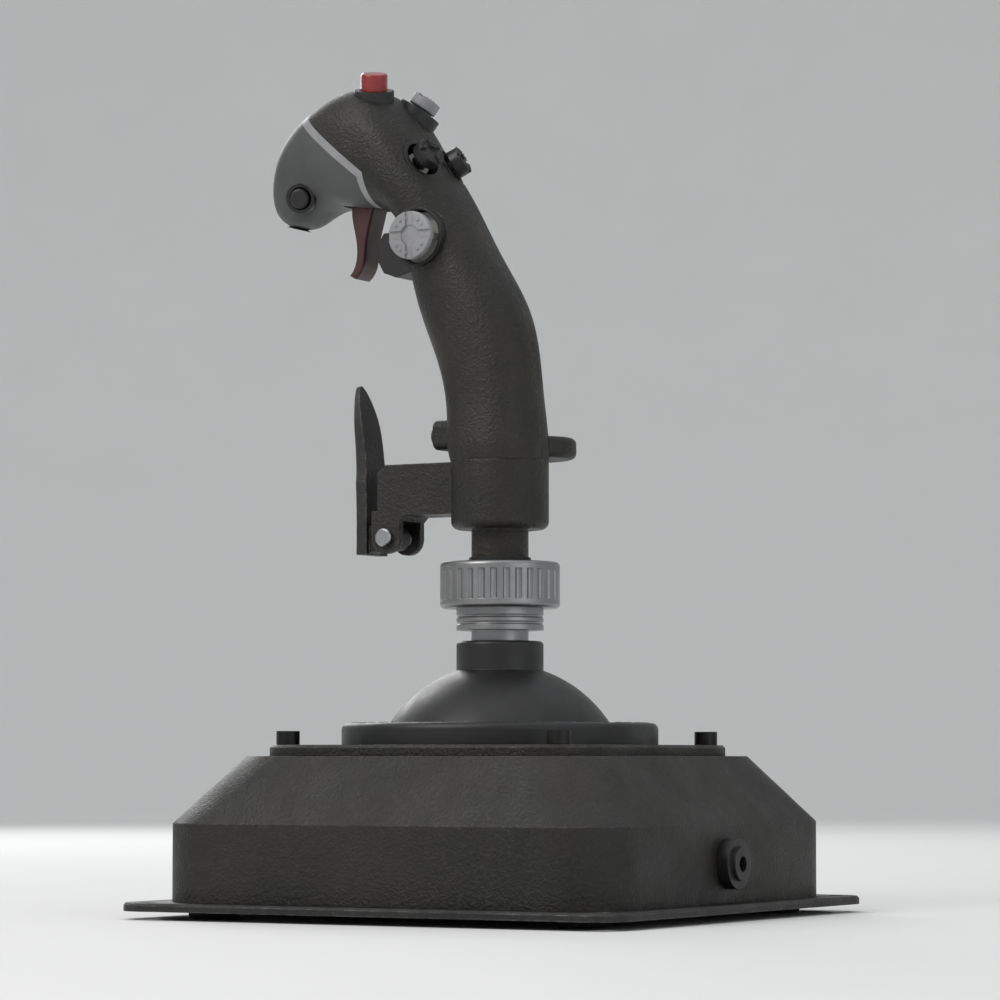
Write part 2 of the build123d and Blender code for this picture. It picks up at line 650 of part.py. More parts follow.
# everything cut out of the shells: wells for the hats and buttons, the trigger's slot, pin and
# screw holes
with BuildPart() as grip_cuts:
    for plane in (TRIM_PLANE, LEFT_THUMB_PLANE, RIGHT_THUMB_PLANE):
        with Locations(plane.offset(-WELL_DEPTH).location):
            Cylinder(SMALL_BEZEL_OUT, 20.0, align=LOW)
    with Locations(SIDE_PLANE.offset(-SIDE_WELL_DEPTH).location):
        Cylinder(SIDE_BEZEL_OUT, 20.0, align=LOW)
    with Locations(RELEASE_PLANE.offset(-RELEASE_WELL_DEPTH).location):
        Cylinder(RELEASE_BEZEL_OUT, 20.0, align=LOW)
    with Locations(MODE_PLANE.offset(-WELL_DEPTH).location):
        Cylinder(MODE_BEZEL_OUT, 20.0, align=LOW)
    with Locations((0, TRIGGER_Y, TRIGGER_Z - 8.0)):
        Box(2 * TRIGGER_HALF + 1.2, 18.0, 30.0)
    with Locations((0, TRIGGER_Y, TRIGGER_Z)):
        Cylinder(PIN_R, 24.6, rotation=(0, 90, 0))
    for y, z, seat in GRIP_SCREW_PLACES:
        with Locations((-9.0, y, z)):
            Cylinder(1.5, 60.0, rotation=(0, 90, 0), align=LOW)
        with Locations((seat, y, z)):
            Cylinder(2.8, 30.0, rotation=(0, 90, 0), align=LOW)

with BuildPart() as cut_ribs:
    add(inner_ribs.part)
    add(grip_cuts.part, mode=Mode.SUBTRACT)

with BuildPart() as grip_blank:
    add(grip_hollow.part)
    add(grip_cuts.part, mode=Mode.SUBTRACT)
    add(cut_ribs.part)

with BuildPart() as left_grip_shell:
    add(grip_blank.part)
    add(nose_cutter, mode=Mode.SUBTRACT)
    add(strip_cutter, mode=Mode.SUBTRACT)
    split(bisect_by=Plane.YZ.offset(-SEAM), keep=Keep.BOTTOM)

with BuildPart() as right_grip_shell:
    add(grip_blank.part)
    add(nose_cutter, mode=Mode.SUBTRACT)
    add(strip_cutter, mode=Mode.SUBTRACT)
    split(bisect_by=Plane.YZ.offset(SEAM), keep=Keep.TOP)

with BuildPart() as nose_shell:
    add(grip_blank.part)
    add(nose_cutter, mode=Mode.INTERSECT)

with BuildPart() as nose_strip:
    add(grip_outer)
    add(strip_cutter, mode=Mode.INTERSECT)
    with Locations((0, TRIGGER_Y, TRIGGER_Z - 8.0)):
        Box(2 * TRIGGER_HALF + 1.2, 18.0, 30.0, mode=Mode.SUBTRACT)
    with Locations((0, TRIGGER_Y - 1.0, TRIGGER_Z)):
        Box(60.0, 9.6, 8.0, mode=Mode.SUBTRACT)

with BuildPart() as grip_screws:
    for y, z, seat in GRIP_SCREW_PLACES:
        with Locations((-8.0, y, z)):
            Cylinder(1.5, seat + 8.0, rotation=(0, 90, 0), align=LOW)
        with Locations((seat, y, z)):
            Cylinder(2.8, 2.2, rotation=(0, 90, 0), align=LOW)
        with Locations((seat + 2.2, y, z)):
            Cylinder(1.3, 2.4, rotation=(0, 90, 0), mode=Mode.SUBTRACT)

with BuildPart() as palm_rest:
    with BuildSketch(Plane.XY.offset(168.0)):
        with Locations((20.0, 1.0)):
            Ellipse(17.0, 20.0)
    extrude(amount=8.0)
    fillet(palm_rest.edges(), 2.4)
    add(grip_outer, mode=Mode.SUBTRACT)

# ---------------------------------------------------------------- hats and buttons

trim_well = hat_bezel(TRIM_PLANE, SMALL_BEZEL_OUT, SMALL_BEZEL_IN, WELL_DEPTH, 1.4, True)
left_well = hat_bezel(LEFT_THUMB_PLANE, SMALL_BEZEL_OUT, SMALL_BEZEL_IN, WELL_DEPTH, 1.4, True)
right_well = hat_bezel(RIGHT_THUMB_PLANE, SMALL_BEZEL_OUT, SMALL_BEZEL_IN, WELL_DEPTH, 1.4, True)
side_well = hat_bezel(SIDE_PLANE, SIDE_BEZEL_OUT, SIDE_BEZEL_IN, SIDE_WELL_DEPTH, 0.5, False)
with BuildPart() as hat_bezels:
    add(trim_well)
    add(left_well)
    add(right_well)
    add(side_well)

release_well = button_bezel(RELEASE_PLANE, RELEASE_BEZEL_OUT, 5.4, RELEASE_WELL_DEPTH, 1.6)
mode_well = button_bezel(MODE_PLANE, MODE_BEZEL_OUT, 4.2, WELL_DEPTH, 0.6)
with BuildPart() as button_bezels:
    add(release_well)
    add(mode_well)

release_part = push_button(RELEASE_PLANE, 5.0, -4.2, 8.0)
mode_part = push_button(MODE_PLANE, 3.8, -4.0, 2.4)
pinkie_part = push_button(PINKIE_PLANE, 3.8, -2.6, 3.8)

trim_rocker_part = hat_rocker(TRIM_PLANE)
trim_hat_part = hat_cap(TRIM_PLANE, SMALL_CAP_R, 4.4, 0.9)
left_rocker_part = hat_rocker(LEFT_THUMB_PLANE)
left_hat_part = hat_cap(LEFT_THUMB_PLANE, SMALL_CAP_R, 4.6, 0.9)
right_rocker_part = hat_rocker(RIGHT_THUMB_PLANE)
right_hat_part = hat_cap(RIGHT_THUMB_PLANE, SMALL_CAP_R, 4.6, 0.9)
side_rocker_part = hat_rocker(SIDE_PLANE)
side_hat_part = hat_cap(SIDE_PLANE, SIDE_CAP_R, 2.8, 1.0)

with BuildPart() as side_slider:
    with Locations(SIDE_PLANE.offset(-6.2).location):
        Cylinder(9.6, 1.2, align=LOW)
    for side in (-1, 1):
        with Locations(SIDE_PLANE.offset(-6.2).location * Location((side * 6.4, 0, 0))):
            Box(1.0, 2.4, 6.2 - HAT_PIVOT + 1.2, align=LOW)
    with Locations(SIDE_PLANE.offset(-HAT_PIVOT).location * Location((0, 0, 0), (0, 90, 0))):
        Cylinder(HAT_PIN_BORE, 16.0, align=MIDDLE, mode=Mode.SUBTRACT)

with BuildPart() as pinkie_housing:
    with Locations((0, 15.0, 171.0)):
        Box(15.0, 20.0, 11.0, align=LOW)
    fillet(pinkie_housing.edges().filter_by(Axis.Y), 3.0)
    front = pinkie_housing.faces().sort_by(Axis.Y)[-1]
    fillet(front.edges(), 1.2)
    with Locations(PINKIE_PLANE.offset(-5.5).location):
        Cylinder(4.2, 20.0, align=LOW, mode=Mode.SUBTRACT)
    add(grip_outer, mode=Mode.SUBTRACT)

# ---------------------------------------------------------------- trigger

guard_block = side_profile(
    [(26, 240), (40, 236), (45.5, 238), (48, 242.5), (48, 249), (45.5, 253), (28, 253)], 8.0
)
with BuildPart() as trigger_housing:
    add(guard_block)
    fillet(trigger_housing.edges().filter_by(Axis.X).sort_by(Axis.Y)[2:], 1.0)
    add(grip_outer, mode=Mode.SUBTRACT)

with BuildPart() as trigger:
    with BuildSketch(Plane.YZ.offset(-TRIGGER_HALF)):
        with BuildLine():
            Spline(*from_pivot((4.4, 1.0), (5.4, -8.0), (3.6, -17.0), (3.6, -24.0), (6.4, -29.4)))
            Line(*from_pivot((6.4, -29.4), (3.8, -31.0)))
            Spline(*from_pivot((3.8, -31.0), (0.2, -26.0), (-0.8, -18.0), (-2.6, -10.0), (-4.2, -4.0)))
            Polyline(
                *from_pivot((-4.2, -4.0), (-10.5, -2.0), (-10.5, 1.0), (-4.0, 3.0), (2.0, 4.2), (4.4, 1.0))
            )
        make_face()
    extrude(amount=2 * TRIGGER_HALF)
    with Locations((4.0, TRIGGER_Y, TRIGGER_Z + 2.0)):
        Box(5.6, 30.0, 12.0, mode=Mode.SUBTRACT)
    with Locations((0, TRIGGER_Y, TRIGGER_Z)):
        Cylinder(PIN_BORE, 40.0, rotation=(0, 90, 0), mode=Mode.SUBTRACT)
    blade_edges = trigger.edges().filter_by(
        lambda rim: rim.length > 15 and abs(abs(rim.center().X) - TRIGGER_HALF) < 0.01
    )
    fillet(blade_edges, 1.0)

with BuildPart() as trigger_pin:
    with Locations((0, TRIGGER_Y, TRIGGER_Z)):
        Cylinder(PIN_R, 24.0, rotation=(0, 90, 0))

trigger_spring = coil((1.9, TRIGGER_Y, TRIGGER_Z), (1, 0, 0), 2.5, 0.4, 1.0, 3.4)

with BuildPart() as switch_board:
    with Locations((0, BOARD_Y, BOARD_Z)):
        Box(26.0, 11.0, 1.6, align=LOW)
    with Locations((-6, BOARD_Y, BOARD_Z + 1.6)):
        Box(7.0, 6.0, 1.4, align=LOW)

with BuildPart() as trigger_switch:
    with Locations((0, BOARD_Y - 2.0, BOARD_Z - 8.0)):
        Box(6.0, 4.5, 8.0, align=LOW)
    with Locations((0, BOARD_Y - 1.0, BOARD_Z - 8.8)):
        Cylinder(0.8, 1.2, align=LOW)

# ---------------------------------------------------------------- paddle

with BuildPart() as paddle:
    with BuildSketch(Plane.YZ.offset(-PADDLE_HALF)):
        with BuildLine():
            Spline((53.2, 133.0), (53.2, 150.0), (53.8, 166.0), (56.0, 182.0), (60.2, 197.0))
            Line((60.2, 197.0), (61.6, 196.6))
            Spline((61.6, 196.6), (59.4, 182.0), (58.2, 166.0), (57.6, 150.0), (57.6, 133.0))
            Line((57.6, 133.0), (53.2, 133.0))
        make_face()
    extrude(amount=2 * PADDLE_HALF)
    with BuildSketch(Plane.XZ.offset(-70.0)):
        with BuildLine():
            Polyline(
                (-PADDLE_HALF, 160.0), (-PADDLE_HALF, 132.0), (PADDLE_HALF, 132.0), (PADDLE_HALF, 160.0)
            )
            Spline(
                (PADDLE_HALF, 160.0), (6.6, 176.0), (4.6, 190.0), (0.0, 197.0), (-4.6, 190.0),
                (-6.6, 176.0), (-PADDLE_HALF, 160.0)
            )
        make_face()
    extrude(amount=30.0, mode=Mode.INTERSECT)
    with BuildSketch(Plane.YZ.offset(-5.6)):
        with BuildLine():
            Polyline(
                (PADDLE_Y, PADDLE_Z + 4.6), (53.4, PADDLE_Z + 4.6), (54.5, 133.4),
                (PADDLE_Y, PADDLE_Z - 4.6), (PADDLE_Y, PADDLE_Z + 4.6)
            )
        make_face()
    extrude(amount=7.0)
    with Locations((-2.1, PADDLE_Y, PADDLE_Z)):
        Cylinder(4.6, 7.0, rotation=(0, 90, 0))
    with Locations((0, PADDLE_Y, PADDLE_Z)):
        Cylinder(PIN_BORE, 40.0, rotation=(0, 90, 0), mode=Mode.SUBTRACT)

with BuildPart() as paddle_pin:
    with Locations((0, PADDLE_Y, PADDLE_Z)):
        Cylinder(PIN_R, 18.0, rotation=(0, 90, 0))
    for side in (-1, 1):
        with Locations((side * 10.1, PADDLE_Y, PADDLE_Z)):
            Cylinder(3.4, 2.2, rotation=(0, 90, 0))
    chamfer(paddle_pin.edges().filter_by(GeomType.CIRCLE).sort_by(Axis.X)[-1], 0.5)
    chamfer(paddle_pin.edges().filter_by(GeomType.CIRCLE).sort_by(Axis.X)[0], 0.5)

paddle_spring = coil((2.1, PADDLE_Y, PADDLE_Z), (1, 0, 0), 2.5, 0.4, 1.0, 3.4)

# ---------------------------------------------------------------- files

save(rubber_feet.part, "rubber_feet")
save(base_plate.part, "base_plate")
save(housing_shell.part, "housing_shell")
save(deck_plate.part, "deck_plate")
save(deck_screws.part, "deck_screws")
save(dome_ring.part, "dome_ring")
save(plate_screws.part, "plate_screws")
save(cable_gland.part, "cable_gland")
save(controller_board.part, "controller_board")
save(board_standoffs.part, "board_standoffs")
save(board_screws.part, "board_screws")
save(gimbal_frame.part, "gimbal_frame")
save(frame_screws.part, "frame_screws")
save(frame_bearings.part, "frame_bearings")
save(pitch_sensor.part, "pitch_sensor")
save(pitch_spring, "pitch_spring")
save(gimbal_ring.part, "gimbal_ring")
save(ring_axles.part, "ring_axles")
save(ring_bearings.part, "ring_bearings")
save(roll_sensor.part, "roll_sensor")
save(roll_spring, "roll_spring")
save(stick_hub.part, "stick_hub")
save(hub_axle.part, "hub_axle")
save(stick_shaft.part, "stick_shaft")
save(shaft_dome.part, "shaft_dome")
save(collar_nut.part, "collar_nut")
save(neck_bracket.part, "neck_bracket")
save(grip_connector.part, "grip_connector")
save(left_grip_shell.part, "left_grip_shell")
save(right_grip_shell.part, "right_grip_shell")
save(nose_shell.part, "nose_shell")
save(nose_strip.part, "nose_strip")
save(grip_screws.part, "grip_screws")
save(palm_rest.part, "palm_rest")
save(hat_bezels.part, "hat_bezels")
save(button_bezels.part, "button_bezels")
save(pinkie_housing.part, "pinkie_housing")
save(trigger_housing.part, "trigger_housing")
save(trigger_pin.part, "trigger_pin")
save(trigger_spring, "trigger_spring")
save(switch_board.part, "switch_board")
save(trigger_switch.part, "trigger_switch")
save(paddle_pin.part, "paddle_pin")
save(paddle_spring, "paddle_spring")
save(trigger.part, "trigger")
save(paddle.part, "paddle")
save(release_part, "release_button")
save(mode_part, "mode_button")
save(pinkie_part, "pinkie_button")
save(trim_rocker_part, "trim_rocker")
save(trim_hat_part, "trim_hat")
save(left_rocker_part, "left_thumb_rocker")
save(left_hat_part, "left_thumb_hat")
save(right_rocker_part, "right_thumb_rocker")
save(right_hat_part, "right_thumb_hat")
save(side_slider.part, "side_slider")
save(side_rocker_part, "side_rocker")
save(side_hat_part, "side_hat")
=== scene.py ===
"""Looks for the flight joystick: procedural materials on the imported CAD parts, small raised pieces laid on
their surfaces, a backdrop, lights and a camera. Metres, +Z up, +Y away from the pilot.

The small raised pieces are guesses at fine detail that the photo is too coarse to show."""

import json
import math

import bmesh
import bpy
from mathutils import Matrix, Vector
from mathutils.bvhtree import BVHTree


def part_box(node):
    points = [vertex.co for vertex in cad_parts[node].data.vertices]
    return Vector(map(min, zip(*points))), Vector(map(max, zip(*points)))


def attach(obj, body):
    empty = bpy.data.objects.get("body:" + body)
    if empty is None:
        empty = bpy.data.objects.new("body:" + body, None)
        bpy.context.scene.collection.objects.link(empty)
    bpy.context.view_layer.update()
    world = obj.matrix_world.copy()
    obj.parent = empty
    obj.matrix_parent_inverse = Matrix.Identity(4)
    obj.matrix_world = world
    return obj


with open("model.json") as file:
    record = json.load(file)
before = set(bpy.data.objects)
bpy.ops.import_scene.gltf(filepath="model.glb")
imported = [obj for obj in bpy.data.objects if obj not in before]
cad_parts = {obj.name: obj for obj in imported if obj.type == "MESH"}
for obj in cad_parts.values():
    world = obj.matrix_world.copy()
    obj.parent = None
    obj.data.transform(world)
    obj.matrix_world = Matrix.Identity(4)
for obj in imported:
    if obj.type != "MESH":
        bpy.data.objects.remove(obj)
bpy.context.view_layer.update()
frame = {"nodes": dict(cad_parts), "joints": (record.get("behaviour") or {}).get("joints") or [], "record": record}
nodes = frame["nodes"]


# ---------------------------------------------------------------- shader helpers

BEVEL_SAMPLES = 6
# a true and a rounded normal agree this well where there is no edge, and on a full edge
EDGE_NONE, EDGE_FULL = 0.985, 0.86
# the parts of a noise's range over which a colour and a roughness change
COLOUR_SPAN = (0.35, 0.65)
ROUGH_SPAN = (0.3, 0.7)


class Shader:
    """One node material, built with short calls."""

    def __init__(self, name):
        self.material = bpy.data.materials.new(name)
        self.material.use_nodes = True
        self.tree = self.material.node_tree
        self.tree.nodes.clear()
        self.output = self.add("ShaderNodeOutputMaterial")
        self.surface = self.add("ShaderNodeBsdfPrincipled")
        self.link(self.surface.outputs["BSDF"], self.output.inputs["Surface"])
        self.place = self.add("ShaderNodeTexCoord").outputs["Object"]

    def add(self, kind, **inputs):
        node = self.tree.nodes.new(kind)
        for key, value in inputs.items():
            node.inputs[key].default_value = value
        return node

    def link(self, source, target):
        self.tree.links.new(source, target)

    def feed(self, socket, value):
        """Gives a socket a number, a colour or another node's output."""
        if isinstance(value, (int, float)):
            socket.default_value = value
        elif isinstance(value, tuple):
            socket.default_value = (*value, 1.0)
        else:
            self.link(value, socket)

    def set(self, name, value):
        self.feed(self.surface.inputs[name], value)

    def noise(self, scale, detail=4.0, roughness=0.6, stretch=(1.0, 1.0, 1.0)):
        mapping = self.add("ShaderNodeMapping", Scale=stretch)
        self.link(self.place, mapping.inputs["Vector"])
        node = self.add("ShaderNodeTexNoise", Scale=scale, Detail=detail, Roughness=roughness)
        self.link(mapping.outputs["Vector"], node.inputs["Vector"])
        return node.outputs["Fac"]

    def cells(self, scale):
        node = self.add("ShaderNodeTexVoronoi", Scale=scale)
        self.link(self.place, node.inputs["Vector"])
        return node.outputs["Distance"]

    def spread(self, value, low, high, to_low=0.0, to_high=1.0):
        ends = {"From Min": low, "From Max": high, "To Min": to_low, "To Max": to_high}
        node = self.add("ShaderNodeMapRange", **ends)
        self.link(value, node.inputs["Value"])
        return node.outputs["Result"]

    def math(self, operation, first, second):
        node = self.add("ShaderNodeMath")
        node.operation = operation
        for socket, value in zip(node.inputs, (first, second)):
            self.feed(socket, value)
        return node.outputs["Value"]

    def blend(self, factor, first, second):
        node = self.add("ShaderNodeMix")
        node.data_type = "RGBA"
        # a mix node keeps the sockets of every data type: these are the factor and the two colours
        for index, value in ((0, factor), (6, first), (7, second)):
            self.feed(node.inputs[index], value)
        return node.outputs[2]

    def soft_edges(self, radius):
        """The normal of a surface whose edges are rounded by the radius."""
        bevel = self.add("ShaderNodeBevel", Radius=radius)
        bevel.samples = BEVEL_SAMPLES
        return bevel.outputs["Normal"]

    def edges(self, radius):
        """1 on edges and corners, 0 on flat stretches."""
        rounded = self.soft_edges(radius)
        geometry = self.add("ShaderNodeNewGeometry")
        dot = self.add("ShaderNodeVectorMath")
        dot.operation = "DOT_PRODUCT"
        self.link(rounded, dot.inputs[0])
        self.link(geometry.outputs["Normal"], dot.inputs[1])
        return self.spread(dot.outputs["Value"], EDGE_NONE, EDGE_FULL)

    def bump(self, height, strength, distance, edge_radius):
        """The normal of a surface with the height as its grain and with rounded edges."""
        rounded = self.soft_edges(edge_radius)
        node = self.add("ShaderNodeBump", Strength=strength, Distance=distance)
        self.link(height, node.inputs["Height"])
        self.link(rounded, node.inputs["Normal"])
        return node.outputs["Normal"]


def tint(colour, factor, lift=0.0):
    """The colour times a factor, which may differ for each channel, plus a lift, and at most 1."""
    factors = factor if isinstance(factor, tuple) else (factor,) * 3
    return tuple(min(1.0, c * f + lift) for c, f in zip(colour, factors))


# ---------------------------------------------------------------- materials


def painted_cast(name, colour, worn_colour, grain=1.0):
    """Matte textured paint on cast metal: orange-peel grain, uneven gloss and bright worn edges."""
    s = Shader(name)
    broad = s.noise(scale=28.0, detail=3.0)
    fine = s.noise(scale=620.0, detail=6.0)
    smudge = s.noise(scale=60.0, detail=5.0, roughness=0.7)
    chips = s.noise(scale=260.0, detail=6.0, roughness=0.75)
    worn = s.math("MULTIPLY", s.edges(radius=0.0011), s.spread(chips, 0.44, 0.62))

    base = s.blend(s.spread(broad, *COLOUR_SPAN), tint(colour, 0.6), tint(colour, (1.5, 1.42, 1.2)))
    base = s.blend(s.spread(fine, 0.52, 0.7, 0.0, 0.6), base, tint(colour, (3.2, 3.0, 2.5)))
    s.set("Base Color", s.blend(s.math("MULTIPLY", worn, 0.75), base, worn_colour))

    rough = s.spread(smudge, *ROUGH_SPAN, 0.42, 0.62)
    s.set("Roughness", s.math("SUBTRACT", rough, s.math("MULTIPLY", worn, 0.12)))
    s.set("Metallic", s.math("MULTIPLY", worn, 0.8))
    s.set("Specular IOR Level", 0.45)

    height = s.math("ADD", s.math("MULTIPLY", s.cells(scale=1000.0), 0.6), fine)
    s.set("Normal", s.bump(height, strength=0.6 * grain, distance=0.0005, edge_radius=0.0006))
    return s.material


def moulded_plastic(name, colour, roughness=0.5, grain=1.0, gloss=0.0):
    """Spark-eroded moulded plastic: fine even grain, faint scuffs and greasy patches."""
    s = Shader(name)
    broad = s.noise(scale=45.0, detail=4.0)
    fine = s.noise(scale=1400.0, detail=5.0)
    scuffs = s.noise(scale=420.0, detail=8.0, roughness=0.8, stretch=(1.0, 0.12, 1.0))
    grease = s.noise(scale=70.0, detail=5.0, roughness=0.7)

    base = s.blend(s.spread(broad, *COLOUR_SPAN), tint(colour, 0.82), tint(colour, 1.16))
    base = s.blend(s.spread(scuffs, 0.66, 0.74, 0.0, 0.3), base, tint(colour, 1.7, lift=0.02))
    s.set("Base Color", base)

    s.set("Roughness", s.spread(grease, *ROUGH_SPAN, roughness - 0.09, roughness + 0.1))
    s.set("Specular IOR Level", 0.5)
    s.set("Coat Weight", gloss)
    s.set("Coat Roughness", 0.25)
    s.set("Normal", s.bump(fine, strength=0.22 * grain, distance=0.00016, edge_radius=0.0005))
    return s.material


def bare_metal(name, colour, roughness=0.3):
    """Turned or brushed metal: fine lines round the upright axis, and darker patches."""
    s = Shader(name)
    lines = s.noise(scale=700.0, detail=6.0, roughness=0.7, stretch=(1.0, 1.0, 14.0))
    patches = s.noise(scale=50.0, detail=4.0)

    base = s.blend(s.spread(patches, *COLOUR_SPAN), tint(colour, 0.75), colour)
    base = s.blend(s.spread(lines, 0.35, 0.75, 0.0, 0.25), base, tint(colour, 1.3))
    s.set("Base Color", base)

    s.set("Metallic", 1.0)
    s.set("Roughness", s.spread(lines, *ROUGH_SPAN, roughness - 0.08, roughness + 0.12))
    s.set("Normal", s.bump(lines, strength=0.12, distance=0.0001, edge_radius=0.0004))
    return s.material


def soft_rubber(name, colour):
    """Rubber: dusty and matte, with a fine pitted grain."""
    s = Shader(name)
    dust = s.noise(scale=120.0, detail=6.0, roughness=0.7)
    s.set("Base Color", s.blend(s.spread(dust, 0.45, 0.75), colour, tint(colour, 2.6, lift=0.01)))
    s.set("Roughness", s.spread(dust, *ROUGH_SPAN, 0.75, 0.95))
    s.set("Normal", s.bump(s.noise(scale=1800.0), strength=0.4, distance=0.0002, edge_radius=0.0006))
    return s.material


def circuit_board(name, colour):
    """Solder-masked board with faint tracks under the mask."""
    s = Shader(name)
    track = s.spread(s.cells(scale=220.0), 0.18, 0.24)
    base = s.blend(track, tint(colour, 1.5), colour)
    base = s.blend(s.spread(s.noise(scale=60.0), 0.4, 0.7, 0.0, 0.4), base, tint(colour, 0.7))
    s.set("Base Color", base)
    s.set("Roughness", s.spread(s.noise(scale=200.0), *ROUGH_SPAN, 0.28, 0.42))
    s.set("Normal", s.bump(track, strength=0.15, distance=0.0001, edge_radius=0.0003))
    return s.material


LOOKS = {
    "black_metal": painted_cast("black_metal", (0.0085, 0.0078, 0.0068), (0.16, 0.15, 0.14)),
    "painted_steel": painted_cast("painted_steel", (0.0095, 0.0095, 0.01), (0.22, 0.22, 0.22), grain=0.7),
    "dark_plastic": moulded_plastic("dark_plastic", (0.0075, 0.0075, 0.008), roughness=0.46),
    "grey_plastic": moulded_plastic("grey_plastic", (0.062, 0.063, 0.065)),
    "light_grey_plastic": moulded_plastic("light_grey_plastic", (0.25, 0.25, 0.258), roughness=0.46),
    "dark_red": moulded_plastic("dark_red", (0.052, 0.012, 0.0125), roughness=0.38, grain=0.7, gloss=0.15),
    "red": moulded_plastic("red", (0.23, 0.007, 0.009), roughness=0.3, grain=0.4, gloss=0.4),
    "satin_aluminium": bare_metal("satin_aluminium", (0.3, 0.3, 0.305), roughness=0.38),
    "steel": bare_metal("steel", (0.42, 0.42, 0.43), roughness=0.28),
    "black_steel": bare_metal("black_steel", (0.035, 0.034, 0.033), roughness=0.36),
    "rubber": soft_rubber("rubber", (0.012, 0.012, 0.012)),
    "board": circuit_board("board", (0.012, 0.1, 0.045)),
    "brass": bare_metal("brass", (0.62, 0.45, 0.2)),
    "acetal": moulded_plastic("acetal", (0.5, 0.49, 0.46), roughness=0.4, grain=0.5),
}

slot_of = {entry["node"]: entry["material_slot"] for entry in frame["record"]["subparts"]}
for name, item in nodes.items():
    item.data.materials.clear()
    item.data.materials.append(LOOKS[slot_of[name]])


# ---------------------------------------------------------------- small pieces on the CAD surfaces


def surface_of(node):
    """A tree that rays can be cast at, made from a CAD node's own faces."""
    mesh = nodes[node].data
    return BVHTree.FromPolygons([v.co for v in mesh.vertices], [list(f.vertices) for f in mesh.polygons])


def piece(name, form, body, look, smooth_angle=40.0):
    """Turns a bmesh into a named object that rides on a body and has a slot's material."""
    mesh = bpy.data.meshes.new(name)
    bmesh.ops.recalc_face_normals(form, faces=form.faces)
    form.to_mesh(mesh)
    form.free()
    item = bpy.data.objects.new(name, mesh)
    bpy.context.collection.objects.link(item)
    mesh.shade_smooth()
    mesh.set_sharp_from_angle(angle=math.radians(smooth_angle))
    mesh.materials.append(LOOKS[look])
    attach(item, body)


def bridge(form, low, high):
    """Quads between two rings that have the same number of vertices."""
    count = len(low)
    for k in range(count):
        form.faces.new((low[k], low[(k + 1) % count], high[(k + 1) % count], high[k]))


RIB_STEPS = 9  # points along a rib
RIB_SIDES = 12
RIB_END = 0.55  # size of a rib's two ends, as a part of its radius
RIB_PROUD = 0.25  # how far a rib's middle line stands off the surface, as a part of its radius
RIB_RAY_START = 0.01
RIB_RAY_REACH = 0.08


def add_rib(form, points, radius):
    """A closed tube with narrowed ends that follows points of one height."""
    rings = []
    last = len(points) - 1
    for i, point in enumerate(points):
        along = (points[min(i + 1, last)] - points[max(i - 1, 0)]).normalized()
        side = along.cross(Vector((0.0, 0.0, 1.0))).normalized()
        up = side.cross(along)
        size = radius * (RIB_END if i in (0, last) else 1.0)
        ring = []
        for k in range(RIB_SIDES):
            turn = math.tau * k / RIB_SIDES
            ring.append(form.verts.new(point + side * size * math.cos(turn) + up * size * math.sin(turn)))
        rings.append(ring)
    for low, high in zip(rings, rings[1:]):
        bridge(form, low, high)
    form.faces.new(rings[0][::-1])
    form.faces.new(rings[-1])


def ribs_across(name, node, body, look, levels, half_width, radius):
    """Small rounded ribs across the front of a narrow part, each laid on its surface at one height."""
    tree = surface_of(node)
    low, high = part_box(node)
    inwards = Vector((0.0, -1.0, 0.0))
    form = bmesh.new()
    for part in levels:
        z = low.z + (high.z - low.z) * part
        points = []
        for i in range(RIB_STEPS):
            x = half_width * (2 * i / (RIB_STEPS - 1) - 1)
            hit = tree.ray_cast(Vector((x, high.y + RIB_RAY_START, z)), inwards, RIB_RAY_REACH)[0]
            if hit is not None:
                points.append(hit - inwards * radius * RIB_PROUD)
        if len(points) == RIB_STEPS:
            add_rib(form, points, radius)
    piece(name, form, body, look)


TICK_FACES = ((0, 1, 2, 3), (4, 5, 6, 7), (0, 1, 5, 4), (1, 2, 6, 5), (2, 3, 7, 6), (3, 0, 4, 7))
TICK_TOP = 0.7  # width of a tick's top, as a part of its foot
TICK_CUT = 0.4  # how much shorter two ticks in three are


def ring_ticks(name, node, body, look, count, inner, outer, width, proud):
    """Short raised marks round the top of a ring, every third one longer."""
    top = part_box(node)[1].z
    form = bmesh.new()
    for i in range(count):
        turn = math.tau * i / count
        begin = inner if i % 3 == 0 else inner + (outer - inner) * TICK_CUT
        across = Vector((-math.sin(turn), math.cos(turn), 0.0)) * width / 2
        out = Vector((math.cos(turn), math.sin(turn), 0.0))
        corners = []
        for z, taper in ((top - proud, 1.0), (top + proud, TICK_TOP)):
            for reach, sign in ((begin, -1), (outer, -1), (outer, 1), (begin, 1)):
                corners.append(form.verts.new(out * reach + across * sign * taper + Vector((0, 0, z))))
        for face in TICK_FACES:
            form.faces.new([corners[k] for k in face])
    piece(name, form, body, look)


RIDGE_STEPS = 6  # points round the band for each ridge
RIM = 0.08  # height of each bevelled rim, as a part of the band's height
BAND_THICKNESS = 4  # in ridge depths
BAND_SMOOTH_ANGLE = 60.0


